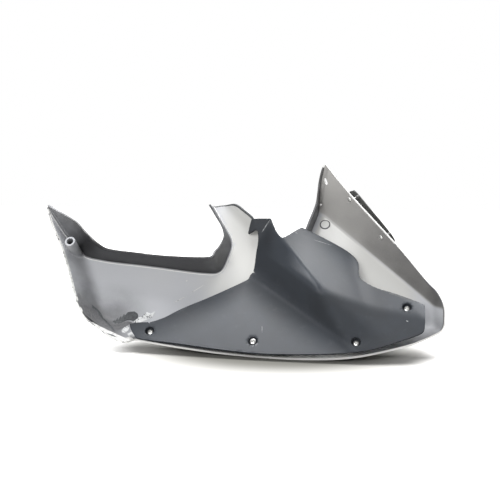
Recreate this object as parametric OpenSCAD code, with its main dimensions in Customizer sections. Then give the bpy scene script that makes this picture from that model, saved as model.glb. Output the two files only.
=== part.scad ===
// Side fairing panel with its inner panel, screws and vent trim. Lengths in mm, angles in degrees.
// Panel frame: x along the panel, v up the panel, w out of the tray towards the open side.
// The tray leans back by panel_lean, and the mouth of the tail boss is the origin.

/* [Placement] */

// Angle between the tray's open direction and the horizontal.
panel_lean = 34; // [0:1:80]

/* [Outer panel] */

// Wall thickness of the outer panel.
outer_wall = 2.8; // [2:0.1:4]
// Thickness of the return flanges.
flange_wall = 2.4; // [1.5:0.1:4]
// Half width of the rounding where two inner faces meet.
crease_soft = 12; // [4:1:16]
// The same for the crisper foot of wing and nose wall.
wing_soft = 5.5; // [2:0.5:12]
// The same for the rolled side of the mid arm.
arm_soft = 6; // [2:0.5:12]
// Rise of the rear wall per mm away from its foot.
rear_slope = 1.4; // [0.5:0.05:2]
// Sweep of the rear wall's foot from upright.
rear_sweep = 24.8; // [0:0.2:45]
// Place of the rear wall's foot beside the boss.
rear_foot_x = 10; // [0:1:30]
// Rise of the belly wall per mm below its foot.
belly_slope = 1; // [0.5:0.05:2]
// Lowest point of the belly wall's foot line.
belly_foot_v = -131; // [-150:1:-110]
// Where along the panel the foot line is lowest.
belly_foot_x = 310; // [250:1:370]
// Curl of the foot line towards the tail, mm at 100 mm.
belly_curl_rear = 4; // [0:0.2:10]
// Curl of the foot line towards the nose, mm at 100 mm.
belly_curl_front = 6; // [0:0.2:10]
// Rise of the wing wall per mm away from its foot.
wing_slope = 1.2; // [0.5:0.05:2]
// Direction in which the wing wall rises.
wing_turn = 48.2; // [30:0.2:60]
// Upper end of the wing wall's foot line, along the panel.
wing_foot_x = 374; // [350:1:390]
// Upper end of the wing wall's foot line, up the panel.
wing_foot_v = 73; // [50:1:90]
// Rise of the short nose wall.
nose_slope = 1.4; // [0.5:0.05:2]
// Foot of the nose wall along the panel.
nose_foot_x = 534; // [520:1:545]
// Rise of the rolled right side of the mid arm.
arm_slope = 1.3; // [0.5:0.05:2]
// Direction in which the rolled side rises.
arm_turn = 42.4; // [30:0.2:60]
// Foot of the rolled side along the panel.
arm_foot_x = 244; // [220:1:260]
// Foot of the rolled side up the panel.
arm_foot_v = 66.5; // [50:1:90]

/* [Notch, arm and wing outline] */

// Tail tip along the panel.
tail_tip_x = -50; // [-80:1:-30]
// Tail tip up the panel.
tail_tip_v = 67; // [40:1:90]
// Left end of the notch floor, up the panel.
notch_left_v = -2; // [-20:1:20]
// Right end of the notch floor, along the panel.
notch_right_x = 222; // [200:1:240]
// Right end of the notch floor, up the panel.
notch_right_v = -22; // [-40:1:0]
// Height of the notch flange at its middle.
notch_flange_mid = 36; // [20:1:60]
// Height of the notch flange at its right corner.
notch_flange_corner = 49; // [20:1:70]
// Height of the lip along the mid arm.
arm_lip = 4; // [2:0.5:10]
// Mid arm tip along the panel.
arm_tip_x = 192; // [170:1:210]
// Mid arm tip up the panel.
arm_tip_v = 94; // [70:1:120]
// Bottom of the gap between mid arm and wing, up the panel.
gap_floor_v = 11; // [0:1:25]
// Foot of the gap's corner at the wing, along the panel.
gap_corner_x = 345; // [336:1:352]
// Foot of the gap's corner at the wing, up the panel.
gap_corner_v = 24; // [16:1:34]
// Wing tip along the panel.
wing_tip_x = 372; // [350:1:390]
// Wing tip up the panel.
wing_tip_v = 134; // [110:1:160]
// Height of the flange on the wing's left edge.
wing_flange = 29; // [15:1:40]
// Foremost point of the nose along the panel.
nose_tip_x = 549; // [530:1:570]
// Lowest point of the belly edge.
belly_edge_v = -172; // [-190:1:-150]

/* [Tail boss and wing holes] */

// Height of the tail boss above the tray floor.
boss_height = 48; // [30:1:60]
// Outer radius of the tail boss.
boss_r = 8; // [6:0.1:12]
// Radius of the bore in the tail boss.
boss_bore_r = 4.8; // [3:0.1:6]
// Depth of that bore.
boss_bore_depth = 30; // [15:1:34]
// Slot place along the panel.
slot_x = 375; // [370:0.5:380]
// Slot place up the panel.
slot_v = 114; // [105:0.5:120]
// Slot width.
slot_width = 4.8; // [3:0.1:7]
// Distance between the centres of the slot's round ends.
slot_reach = 5.4; // [2:0.1:10]
// Small hole place along the panel.
pin_hole_x = 367; // [365:0.5:370]
// Small hole place up the panel.
pin_hole_v = 90; // [80:0.5:95]
// Small hole radius.
pin_hole_r = 1.6; // [1:0.1:2.5]
// Raised pad place along the panel.
pad_x = 374.5; // [370:0.5:380]
// Raised pad place up the panel.
pad_v = 60; // [50:0.5:70]
// Raised pad radius.
pad_r = 6.8; // [4:0.1:9]
// Raised pad height above the face.
pad_rise = 1.6; // [0.5:0.1:3]

/* [Inner panel] */

// Wall thickness of the inner panel.
inner_wall = 2.2; // [1.5:0.1:3]
// Least distance of its open face above the outer panel's inner face.
inner_clear = 4.6; // [3:0.1:8]
// Half width of the rounding between its facets.
facet_soft = 8; // [3:1:14]
// Height of the low facet at the corner screw.
low_height = 35.4; // [25:0.2:45]
// Slope of the low facet.
low_slope = 0.28; // [0:0.01:0.6]
// Height of the high facet at the middle of its wing side.
high_height = 25.2; // [15:0.2:40]
// Slope of the high facet.
high_slope = 0.68; // [0.3:0.01:1]
// Height of the riser at its lower middle.
riser_height = 28.2; // [15:0.2:40]
// Slope of the riser between low and high facet.
riser_slope = 1.17; // [0.6:0.01:1.6]
// Height of the front facet at the belly screw.
front_height = 57.5; // [45:0.5:70]
// Slope of the front facet.
front_slope = 0.16; // [0:0.01:0.5]
// Height of the post's tab over the mid arm.
tab_height = 15.3; // [8:0.1:25]
// Slope of the tab.
tab_slope = 1.36; // [0.8:0.01:2]
// Spread of the side wall under the low facet's upper edge.
skirt_spread = 6; // [0:0.5:12]
// Gap left under that side wall.
skirt_gap = 0.6; // [0.2:0.1:2]

/* [Inner panel screws] */

// Radius of a screw pocket.
pocket_r = 6.5; // [5:0.1:9]
// Thickness of a pocket's side wall.
pocket_wall = 1.6; // [1:0.1:3]
// Depth of a pocket below the panel face.
pocket_depth = 7; // [4:0.1:12]
// Depth of the shallow pocket at the belly.
pocket_shallow = 4.2; // [2:0.1:8]
// Radius of the screw hole in a pocket floor.
screw_hole_r = 2.3; // [1.8:0.1:3]
// Radius of a screw shank, and of the bore it is tapped into.
shank_r = 1.8; // [1.2:0.1:2.5]
// Length of a screw shank.
shank_length = 13; // [8:0.5:20]
// Radius of a screw head.
head_r = 4.7; // [3:0.1:6]
// Height of a screw head.
head_height = 2.7; // [1.5:0.1:4]
// Radius of a screw boss on the outer panel.
screw_boss_r = 4.6; // [3:0.1:6]
// Depth of the cross recess in a head.
recess_depth = 1.4; // [0.5:0.1:2]

/* [Vent trim] */

// Distance of the trim behind the wing's inner face.
trim_offset = 21; // [12:0.5:35]
// Thickness of the trim strip.
trim_wall = 3; // [2:0.1:5]
// Distance of its upper edge from the line of the trim screws.
trim_upper = 3; // [2:0.5:8]
// Distance of its lower edge from that line.
trim_lower = 17; // [8:0.5:25]
// Reach past the upper screw.
trim_front = 16; // [8:1:30]
// Reach past the lower screw.
trim_back = 30; // [10:1:50]
// Radius of the two trim screws.
trim_pin_r = 1.6; // [1:0.1:2.5]
// Radius of their heads.
trim_head_r = 3; // [2:0.1:5]
// Height of their heads.
trim_head_height = 1.8; // [1:0.1:3]
// Radius of the sockets on the trim.
socket_r = 2.9; // [2.2:0.1:6]
// Depth of the bore in a socket.
socket_depth = 6; // [3:0.1:8]
// Clearance of the trim screws in the wing.
trim_clear = 0.2; // [0.1:0.1:1]

/* [Hidden] */

// Facets of a full circle.
$fn = 48;
// Grid cell of the moulded faces.
cell = 8;
// How deep flanges and bosses sit in the wall.
root = 1.5;
// Height above every face, for cutting and filling.
beyond = 140;

// Sub-parts that can be drawn alone.
// The sub-part to draw, or all of them.

// Rounded greater and lesser of two heights.
function soft_max(a, b, r) = max(a, b) + pow(max(r - abs(a - b), 0), 2) / (4 * r);
function soft_min(a, b, r) = -soft_max(-a, -b, r);

// Height over a sloped face, given at one point, with slope and direction of rise.
function face(x, v, x0, v0, h, slope, turn) =
    h + slope * ((x - x0) * cos(turn) + (v - v0) * sin(turn));

// Foot line of the belly wall.
function belly_line(x) = belly_foot_v
    + (x < belly_foot_x ? belly_curl_rear : belly_curl_front) * pow((x - belly_foot_x) / 100, 2);

function rear_face(x, v) = face(x, v, rear_foot_x, 0, 0, rear_slope, 180 + rear_sweep);
function belly_face(x, v) = belly_slope * (belly_line(x) - v);
function wing_face(x, v) = face(x, v, wing_foot_x, wing_foot_v, 0, wing_slope, wing_turn);
function nose_face(x, v) = face(x, v, nose_foot_x, 0, 0, nose_slope, 0);

// Rolled side of the mid arm, faded out before the wing.
function arm_face(x, v) = face(x, v, arm_foot_x, arm_foot_v, 0, arm_slope, arm_turn)
    * min(max((305 - x) / 40, 0), 1);

// Inner face of the outer panel.
function tray(x, v) =
    let (a = soft_max(0, rear_face(x, v), crease_soft))
    let (b = soft_max(a, belly_face(x, v), crease_soft))
    let (c = soft_max(b, wing_face(x, v), wing_soft))
    let (d = soft_max(c, nose_face(x, v), wing_soft))
    soft_max(d, arm_face(x, v), arm_soft);

function low_face(x, v) = face(x, v, 137, -134, low_height, low_slope, -80);
function high_face(x, v) = face(x, v, 430, -36, high_height, high_slope, -140);
function riser_face(x, v) = face(x, v, 345, -95, riser_height, riser_slope, 34);
function front_face(x, v) = face(x, v, 431, -152, front_height, front_slope, 172);
function tab_face(x, v) = face(x, v, 265, 50, tab_height, tab_slope, 2);

// Open face of the inner panel.
function liner(x, v) =
    let (a = soft_min(high_face(x, v), riser_face(x, v), facet_soft))
    let (b = soft_min(a, front_face(x, v), facet_soft * 0.75))
    let (c = soft_min(b, tab_face(x, v), facet_soft * 0.5))
    let (d = soft_max(c, low_face(x, v), facet_soft))
    soft_max(d, tray(x, v) + inner_clear, 2);

// One height function for both mouldings.
function height(inner, x, v) = inner ? liner(x, v) : tray(x, v);

// Underside of a moulding, so that the wall is equally thick on every slope.
function under(inner, x, v, wall) =
    let (h = height(inner, x, v))
    let (gx = height(inner, x + 1, v) - h)
    let (gv = height(inner, x, v + 1) - h)
    h - wall * sqrt(1 + gx * gx + gv * gv);

// Smooth run through a list of points.
function run_at(a, b, c, d, t) = 0.5 * (2 * b + (c - a) * t
    + (2 * a - 5 * b + 4 * c - d) * t * t + (3 * b - a - 3 * c + d) * t * t * t);
function run(pts, steps) = [
    for (i = [0 : len(pts) - 2], s = [0 : steps - 1])
        run_at(pts[max(i - 1, 0)], pts[i], pts[i + 1], pts[min(i + 2, len(pts) - 1)], s / steps),
    pts[len(pts) - 1],
];

// Flange stations: foot x and v, rim shift in x and v, rim height.
notch_run = run([
    [tail_tip_x, tail_tip_v, 0, 0, 40],
    [-37, 55, 10, 0, 43],
    [-15, 28, 17, 10, 45],
    [-4, 18, 17, 10, 44],
    [9, 4, 19, 9, 43],
    [34, notch_left_v, 10, 2, 41],
    [60, notch_left_v - 4, 0, 0, 37],
    [100, notch_left_v - 8, 0, 0, notch_flange_mid - 1],
    [139, notch_left_v - 12.5, 0, 0, notch_flange_mid],
    [185, notch_left_v - 18, 0, 0, notch_flange_mid + 7],
    [210, notch_right_v + 0.5, 0, 0, notch_flange_corner - 2],
    [notch_right_x - 4, notch_right_v + 2, 0, 0, notch_flange_corner],
    [notch_right_x + 1, notch_right_v + 8, -4, 3, 45],
    [notch_right_x + 6, 2, -6, 1, 33],
    [notch_right_x + 10, 20, -9, 0, 20],
    [notch_right_x + 7, 34, -6, 1, 10],
    [notch_right_x - 4, 52, 0, 0, arm_lip + 1],
    [arm_tip_x + 13, 73, 0, 0, arm_lip],
    [arm_tip_x, arm_tip_v, 0, 0, arm_lip],
], 3);

wing_run = run([
    [gap_corner_x, gap_corner_v, 0, 0, wing_flange - 2],
    [352, 49, 0, 0, wing_flange],
    [360.5, 77, 0, 0, wing_flange],
    [362.5, 95, 0, 0, wing_flange],
    [364, 112, 0, 0, wing_flange + 4],
    [367.5, 124, 0, 0, 46],
], 3);

// Plain edges of the outer panel, going round clockwise.
arm_edge = run([
    [arm_tip_x, arm_tip_v],
    [arm_tip_x + 9, arm_tip_v - 3.5],
    [arm_tip_x + 22, arm_tip_v - 1.5],
    [arm_tip_x + 32, arm_tip_v - 2],
    [arm_tip_x + 40, arm_tip_v - 4],
    [arm_tip_x + 48, arm_tip_v - 8.5],
    [252, 75],
    [267, 61],
    [302, 24],
    [331, gap_floor_v],
    [gap_corner_x, gap_corner_v],
], 3);
lead_edge = run([
    [wing_tip_x - 1, wing_tip_v],
    [wing_tip_x + 2, wing_tip_v - 1],
    [412, 88],
    [479, 14],
    [522, -37],
    [541, -58],
    [nose_tip_x - 1, -77],
    [nose_tip_x, -98],
    [nose_tip_x - 4, -114],
    [519, -134],
    [492, -148],
    [425, belly_edge_v + 3],
    [355, belly_edge_v],
    [260, belly_edge_v + 6],
    [186, belly_edge_v + 15],
    [117, belly_edge_v + 26],
], 3);
rear_edge = run([
    [113, -149],
    [105, -155],
    [84, -147],
    [54, -124],
    [38, -114],
    [22, -88],
    [2, -41],
    [-18, 2],
    [-37, 35],
    [tail_tip_x, tail_tip_v],
], 3);

function plain(pts) = [for (i = [0 : len(pts) - 2]) [pts[i][0], pts[i][1]]];
outer_outline = concat(plain(notch_run), plain(arm_edge), plain(wing_run), plain(lead_edge),
    plain(rear_edge));

// Edges of the inner panel, going round clockwise, the skirted edge first.
skirt_run = run([
    [135, -120],
    [155, -111],
    [178, -95],
    [219, -72],
    [261, -46],
    [270, -38],
    [274, -28],
], 3);
inner_edge = run([
    [274, -28],
    [277, -7],
    [281, 14],
    [276, 34],
    [261, 38],
    [261, 45],
    [264, 57],
    [270, 57],
    [296, 38],
    [302, 34],
    [309, 15],
    [317, 5],
    [324, 5],
    [342, 31],
    [350, 32],
    [379, 22],
    [407, 10],
    [421, -1],
    [428, -14],
    [430, -36],
    [437, -46],
    [457, -58],
    [478, -66],
    [517, -84],
    [522, -92],
    [522, -125],
    [516, -136],
    [492, -147],
    [452, -163],
    [418, -169],
    [356, -172],
    [292, -171],
    [233, -164],
    [172, -155],
    [126, -149],
    [117, -143],
    [107, -127],
    [110, -122],
    [135, -120],
], 2);
inner_outline = concat(plain(skirt_run), plain(inner_edge));

// Screw places on the panel, with the depth of each pocket.
screw_places = [
    [138, -135, pocket_depth],
    [289, -151, pocket_shallow],
    [431, -152, pocket_depth],
    [498, -91, pocket_depth],
];
// Height of the pocket floor under a screw head.
function seat(p) = liner(p[0], p[1]) - p[2];

// Grid cells that the outline needs.
function crossed(p, a, b) = (a[1] > p[1]) != (b[1] > p[1])
    && p[0] < (b[0] - a[0]) * (p[1] - a[1]) / (b[1] - a[1]) + a[0];
function inside(p, pts) = len([
    for (i = [0 : len(pts) - 1])
        if (crossed(p, pts[i], pts[(i + 1) % len(pts)])) 1
]) % 2 == 1;
function gap_to(p, a, b) =
    let (t = min(max((p - a) * (b - a) / ((b - a) * (b - a)), 0), 1))
    norm(p - a - t * (b - a));
function near(p, pts, reach) = min([
    for (i = [0 : len(pts) - 1])
        gap_to(p, pts[i], pts[(i + 1) % len(pts)])
]) < reach;

// Moulded sheet over the cells that the outline needs.
module sheet(inner, outline, wall) {
    xs = [for (p = outline) p[0]];
    vs = [for (p = outline) p[1]];
    x0 = min(xs) - cell;
    v0 = min(vs) - cell;
    nx = ceil((max(xs) - x0) / cell) + 1;
    nv = ceil((max(vs) - v0) / cell) + 1;
    n = (nx + 1) * (nv + 1);
    used = [
        for (i = [0 : nx - 1]) [
            for (j = [0 : nv - 1])
                let (p = [x0 + (i + 0.5) * cell, v0 + (j + 0.5) * cell])
                inside(p, outline) || near(p, outline, cell * 0.9)
        ]
    ];
    function on(i, j) = i >= 0 && i < nx && j >= 0 && j < nv && used[i][j];
    function idx(i, j) = i * (nv + 1) + j;
    upper = [
        for (i = [0 : nx], j = [0 : nv])
            let (x = x0 + i * cell, v = v0 + j * cell)
            [x, v, height(inner, x, v)]
    ];
    lower = [
        for (i = [0 : nx], j = [0 : nv])
            let (x = x0 + i * cell, v = v0 + j * cell)
            [x, v, under(inner, x, v, wall)]
    ];
    faces = [
        for (i = [0 : nx - 1], j = [0 : nv - 1])
            if (on(i, j))
                let (a = idx(i, j), b = idx(i, j + 1), c = idx(i + 1, j + 1), d = idx(i + 1, j))
                each concat(
                    [[a, b, d], [b, c, d], [a + n, d + n, b + n], [b + n, d + n, c + n]],
                    on(i - 1, j) ? [] : [[b, a, a + n], [b, a + n, b + n]],
                    on(i + 1, j) ? [] : [[d, c, c + n], [d, c + n, d + n]],
                    on(i, j - 1) ? [] : [[a, d, d + n], [a, d + n, a + n]],
                    on(i, j + 1) ? [] : [[c, b, b + n], [c, b + n, c + n]]
                )
    ];
    intersection() {
        polyhedron(points = concat(upper, lower), faces = faces, convexity = 10);
        translate([0, 0, -beyond])
            linear_extrude(height = 2 * beyond)
                polygon(outline);
    }
}

// Closed ribbon from rings of four points.
module ribbon(rings) {
    last = len(rings) - 1;
    sides = [
        for (s = [0 : last - 1], k = [0 : 3])
            let (a = s * 4 + k, b = s * 4 + (k + 1) % 4)
            each [[a, a + 4, b + 4], [a, b + 4, b]]
    ];
    e = last * 4;
    caps = [[0, 1, 2], [0, 2, 3], [e, e + 2, e + 1], [e, e + 3, e + 2]];
    polyhedron(points = [for (r = rings) each r], faces = concat(sides, caps), convexity = 6);
}

// Direction out of the panel at a station of a run.
function outward(pts, i) =
    let (a = pts[max(i - 1, 0)], b = pts[min(i + 1, len(pts) - 1)])
    let (d = [b[0] - a[0], b[1] - a[1]])
    [-d[1], d[0]] / norm(d);

// Flange that rises from the tray wall along a run of stations.
module flange(pts) {
    ribbon([
        for (i = [0 : len(pts) - 1])
            let (p = pts[i], n = outward(pts, i) * flange_wall, e = outward(pts, i) * 0.3)
            let (fo = [p[0] - e[0], p[1] - e[1]], fi = fo - n)
            let (ro = fo + [p[2], p[3]], ri = ro - n)
            [
                [fi[0], fi[1], tray(fi[0], fi[1]) - root],
                [fo[0], fo[1], tray(fo[0], fo[1]) - root],
                [ro[0], ro[1], p[4]],
                [ri[0], ri[1], p[4]],
            ]
    ]);
}

// Upright cylinder that ends in a moulded face: in the tray wall below, or under the liner above.
module fitted(inner, x, v, r, z0, z1) {
    step = 3;
    m = ceil(r / step) + 1;
    w = 2 * m;
    n = (w + 1) * (w + 1);
    function idx(i, j) = i * (w + 1) + j;
    spots = [for (i = [-m : m], j = [-m : m]) [x + i * step, v + j * step]];
    low = [for (p = spots) [p[0], p[1], inner ? -beyond : tray(p[0], p[1]) - root]];
    high = [for (p = spots) [p[0], p[1], inner ? liner(p[0], p[1]) - inner_wall / 2 : beyond]];
    ends = [
        for (i = [0 : w - 1], j = [0 : w - 1])
            let (a = idx(i, j), b = idx(i, j + 1), c = idx(i + 1, j + 1), d = idx(i + 1, j))
            each [
                [a, d, b], [b, d, c], [a + n, b + n, d + n], [b + n, c + n, d + n]
            ]
    ];
    sides = [
        for (k = [0 : w - 1])
            let (a = idx(0, k), b = idx(0, k + 1), c = idx(w, k + 1), d = idx(w, k))
            let (e = idx(k, 0), f = idx(k + 1, 0), g = idx(k, w), h = idx(k + 1, w))
            each [
                [a, b, b + n], [a, b + n, a + n], [c, d, d + n], [c, d + n, c + n],
                [f, e, e + n], [f, e + n, f + n], [g, h, h + n], [g, h + n, g + n]
            ]
    ];
    intersection() {
        translate([x, v, z0])
            cylinder(r = r, h = z1 - z0);
        polyhedron(points = concat(low, high), faces = concat(ends, sides), convexity = 4);
    }
}

// Frame of the trim: origin at the upper trim screw, u along the screws, n into the tray.
upper_pin = [412, 82, wing_face(412, 82)];
lower_pin = [459, 26, wing_face(459, 26)];
pin_run = lower_pin - upper_pin;
pin_span = norm(pin_run);
u_dir = pin_run / pin_span;
n_raw = [-wing_slope * cos(wing_turn), -wing_slope * sin(wing_turn), 1];
n_dir = n_raw / norm(n_raw);
t_dir = cross(n_dir, u_dir);

// Draws its children in the trim's frame.
module on_wing() {
    multmatrix([
        [u_dir[0], t_dir[0], n_dir[0], upper_pin[0]],
        [u_dir[1], t_dir[1], n_dir[1], upper_pin[1]],
        [u_dir[2], t_dir[2], n_dir[2], upper_pin[2]],
        [0, 0, 0, 1],
    ])
        children();
}

// Draws its children square to the wing wall at a place on it, with y up the wall.
module square_to_wing(x, v) {
    side = cross([0, 1, 0], n_dir) / norm(cross([0, 1, 0], n_dir));
    up = cross(n_dir, side);
    multmatrix([
        [side[0], up[0], n_dir[0], x],
        [side[1], up[1], n_dir[1], v],
        [side[2], up[2], n_dir[2], wing_face(x, v)],
        [0, 0, 0, 1],
    ])
        children();
}

// Draws its children in the installed frame.
module installed() {
    rotate([90 - panel_lean, 0, 0])
        translate([0, 0, -boss_height])
            children();
}

module outer_panel() {
    color([0.75, 0.77, 0.77])
        installed()
            difference() {
                union() {
                    sheet(false, outer_outline, outer_wall);
                    flange(notch_run);
                    flange(wing_run);
                    fitted(false, 0, 0, boss_r, -20, boss_height);
                    for (p = screw_places)
                        fitted(false, p[0], p[1], screw_boss_r, -20, seat(p) - inner_wall);
                    translate([pad_x, pad_v, -root])
                        cylinder(r = pad_r, h = root + pad_rise);
                }
                translate([0, 0, boss_height - boss_bore_depth])
                    cylinder(r = boss_bore_r, h = boss_bore_depth + 1);
                for (p = screw_places)
                    translate([p[0], p[1], bore_floor(p)])
                        cylinder(r = shank_r, h = beyond);
                square_to_wing(slot_x, slot_v) {
                    for (side = [-0.5, 0.5])
                        translate([0, side * slot_reach, -10])
                            cylinder(r = slot_width / 2, h = 20);
                    translate([-slot_width / 2, -slot_reach / 2, -10])
                        cube([slot_width, slot_reach, 20]);
                }
                square_to_wing(pin_hole_x, pin_hole_v)
                    translate([0, 0, -10])
                        cylinder(r = pin_hole_r, h = 12);
                on_wing()
                    for (u = [0, pin_span])
                        translate([u, 0, -10])
                            cylinder(r = trim_pin_r + trim_clear, h = 20);
            }
}

// Bottom of the bore that a screw is tapped into.
function bore_floor(p) = max(seat(p) - shank_length - 1, tray(p[0], p[1]) + shank_r * 2);

module inner_panel() {
    color([0.11, 0.11, 0.12])
        installed()
            difference() {
                union() {
                    sheet(true, inner_outline, inner_wall);
                    ribbon([
                        for (i = [0 : len(skirt_run) - 1])
                            let (p = skirt_run[i], n = outward(skirt_run, i))
                            let (ro = p - n * 0.3, ri = ro - n * inner_wall)
                            let (fo = ro + n * skirt_spread, fi = ri + n * skirt_spread)
                            [
                                [fi[0], fi[1], tray(fi[0], fi[1]) + skirt_gap],
                                [fo[0], fo[1], tray(fo[0], fo[1]) + skirt_gap],
                                [ro[0], ro[1], liner(ro[0], ro[1]) - inner_wall / 2],
                                [ri[0], ri[1], liner(ri[0], ri[1]) - inner_wall / 2],
                            ]
                    ]);
                    for (p = screw_places)
                        fitted(true, p[0], p[1], pocket_r + pocket_wall, seat(p) - inner_wall,
                            beyond);
                }
                for (p = screw_places) {
                    translate([p[0], p[1], seat(p)])
                        cylinder(r = pocket_r, h = beyond);
                    translate([p[0], p[1], 0])
                        cylinder(r = screw_hole_r, h = beyond);
                }
            }
}

// Pan head screw with a cross recess, its head seated at height zero.
module pan_screw(r, top, pin, length) {
    difference() {
        union() {
            rotate_extrude()
                polygon([
                    [0, 0],
                    [r, 0],
                    [r, top * 0.35],
                    [r * 0.93, top * 0.65],
                    [r * 0.7, top * 0.9],
                    [r * 0.4, top],
                    [0, top],
                ]);
            translate([0, 0, -length])
                cylinder(r = pin, h = length + top / 2);
        }
        for (turn = [20, 110])
            rotate([0, 0, turn])
                translate([-r * 0.55, -r * 0.12, top - recess_depth * top / 2.7])
                    cube([r * 1.1, r * 0.24, top]);
    }
}

// Screw at one of the inner panel's pockets.
module seated_screw(p) {
    color([0.82, 0.83, 0.85])
        installed()
            translate([p[0], p[1], seat(p)])
                pan_screw(head_r, head_height, shank_r, seat(p) - bore_floor(p) - 0.5);
}

module corner_screw() {
    seated_screw(screw_places[0]);
}

module belly_screw() {
    seated_screw(screw_places[1]);
}

module front_screw() {
    seated_screw(screw_places[2]);
}

module nose_screw() {
    seated_screw(screw_places[3]);
}

module vent_trim() {
    color([0.14, 0.14, 0.15])
        installed()
            on_wing()
                difference() {
                    union() {
                        translate([0, 0, -trim_offset - trim_wall])
                            linear_extrude(height = trim_wall)
                                offset(r = 1.5)
                                    offset(delta = -1.5)
                                        polygon([
                                            [-trim_front, -trim_lower],
                                            [-trim_front, -trim_upper * 2],
                                            [3 - trim_front, 0],
                                            [7 - trim_front, trim_upper],
                                            [pin_span + 3, trim_upper],
                                            [pin_span + 18, -trim_upper],
                                            [pin_span + trim_back, -trim_lower * 0.6],
                                            [pin_span + trim_back, -trim_lower],
                                        ]);
                        for (u = [0, pin_span])
                            translate([u, 0, -trim_offset - trim_wall / 2])
                                cylinder(r = socket_r, h = socket_depth);
                    }
                    for (u = [0, pin_span])
                        translate([u, 0, -trim_offset - trim_wall / 2 + 0.5])
                            cylinder(r = trim_pin_r, h = socket_depth + 1);
                }
}

// Screw that carries the trim.
module trim_screw(u) {
    color([0.82, 0.83, 0.85])
        installed()
            on_wing()
                translate([u, 0, 0])
                    pan_screw(trim_head_r, trim_head_height, trim_pin_r,
                        trim_offset + trim_wall / 2 - 0.5);
}

module trim_screw_upper() {
    trim_screw(0);
}

module trim_screw_lower() {
    trim_screw(pin_span);
}

outer_panel();
inner_panel();
corner_screw();
belly_screw();
front_screw();
nose_screw();
vent_trim();
trim_screw_upper();
trim_screw_lower();
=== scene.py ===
"""Looks of the side fairing panel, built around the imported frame."""

import math

import bmesh
import bpy
from mathutils import Matrix, Vector, noise
from mathutils.geometry import delaunay_2d_cdt


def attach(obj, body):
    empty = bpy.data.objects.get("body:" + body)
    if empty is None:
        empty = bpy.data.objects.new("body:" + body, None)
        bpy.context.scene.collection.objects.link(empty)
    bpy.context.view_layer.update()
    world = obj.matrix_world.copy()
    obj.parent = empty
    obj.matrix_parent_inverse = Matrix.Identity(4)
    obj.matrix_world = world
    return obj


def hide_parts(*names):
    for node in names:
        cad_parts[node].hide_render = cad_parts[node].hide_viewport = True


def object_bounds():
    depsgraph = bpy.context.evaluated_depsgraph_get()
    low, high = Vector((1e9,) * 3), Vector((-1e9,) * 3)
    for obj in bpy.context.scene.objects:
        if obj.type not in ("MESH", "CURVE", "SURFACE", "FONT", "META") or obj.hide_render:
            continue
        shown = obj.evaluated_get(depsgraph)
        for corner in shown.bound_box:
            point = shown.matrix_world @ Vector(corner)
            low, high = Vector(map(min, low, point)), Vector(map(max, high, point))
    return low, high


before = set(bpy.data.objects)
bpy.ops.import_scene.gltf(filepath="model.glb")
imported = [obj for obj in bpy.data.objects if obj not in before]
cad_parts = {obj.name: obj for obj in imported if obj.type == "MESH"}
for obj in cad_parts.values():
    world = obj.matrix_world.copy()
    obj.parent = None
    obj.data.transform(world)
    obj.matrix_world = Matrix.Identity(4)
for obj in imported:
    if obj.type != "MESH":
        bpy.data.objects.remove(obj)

cad_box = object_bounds()

# Panel frame: x runs along the panel, v up it and w out of its hollow, all in millimetres.
MM = 0.001
LEAN = math.radians(34)
BOSS_HEIGHT = 48
X_AXIS = Vector((1, 0, 0))
V_AXIS = Vector((0, math.sin(LEAN), math.cos(LEAN)))
W_AXIS = Vector((0, -math.cos(LEAN), math.sin(LEAN)))


def place(x, v, w):
    """Point of the row frame, in metres."""
    return (X_AXIS * x + V_AXIS * v + W_AXIS * (w - BOSS_HEIGHT)) * MM


# Moulded faces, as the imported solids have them.
OUTER_WALL, INNER_WALL, INNER_CLEAR = 2.8, 2.2, 4.6
CREASE_SOFT, WING_SOFT, ARM_SOFT, FACET_SOFT = 12, 5.5, 6, 8
WING_SLOPE, WING_TURN, WING_FOOT = 1.2, 48.2, (374, 73)
WING_RISE = Vector((math.cos(math.radians(WING_TURN)), math.sin(math.radians(WING_TURN))))
WING_NORMAL = Vector((*(-WING_SLOPE * WING_RISE), 1)).normalized()
# Sloped faces: a point in x and v, the height there, the slope and the direction of its rise.
REAR_WALL = (10, 0, 0, 1.4, 204.8)
WING_WALL = (*WING_FOOT, 0, WING_SLOPE, WING_TURN)
NOSE_WALL = (534, 0, 0, 1.4, 0)
ARM_ROLL = (244, 66.5, 0, 1.3, 42.4)
LOW_FACET = (137, -134, 35.4, 0.28, -80)
HIGH_FACET = (430, -36, 25.2, 0.68, -140)
RISER = (345, -95, 28.2, 1.17, 34)
FRONT_FACET = (431, -152, 57.5, 0.16, 172)
POST_TAB = (265, 50, 15.3, 1.36, 2)
# Stretch along the panel over which the arm's rolled side fades out.
ARM_FADE = (305, 265)
# Lowest point of the belly wall's foot, and its curl towards tail and nose, mm at 100 mm.
BELLY_FOOT, BELLY_CURLS = (310, -131), (4, 6)


def clamped(t):
    """The number held between 0 and 1."""
    return min(max(t, 0), 1)


def ramp(t, start, end):
    """0 up to the start and 1 from the end on; the end may be the lower of the two."""
    return clamped((t - start) / (end - start))


def soft_max(a, b, r):
    """The greater number, with the corner between the two rounded."""
    return max(a, b) + max(r - abs(a - b), 0) ** 2 / (4 * r)


def soft_min(a, b, r):
    """The smaller number, with the corner between the two rounded."""
    return -soft_max(-a, -b, r)


def face(x, v, wall):
    """Height over a sloped face."""
    x0, v0, h, slope, turn = wall
    t = math.radians(turn)
    return h + slope * ((x - x0) * math.cos(t) + (v - v0) * math.sin(t))


def belly_line(x):
    """Foot of the belly wall."""
    return BELLY_FOOT[1] + BELLY_CURLS[x >= BELLY_FOOT[0]] * ((x - BELLY_FOOT[0]) / 100) ** 2


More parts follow.
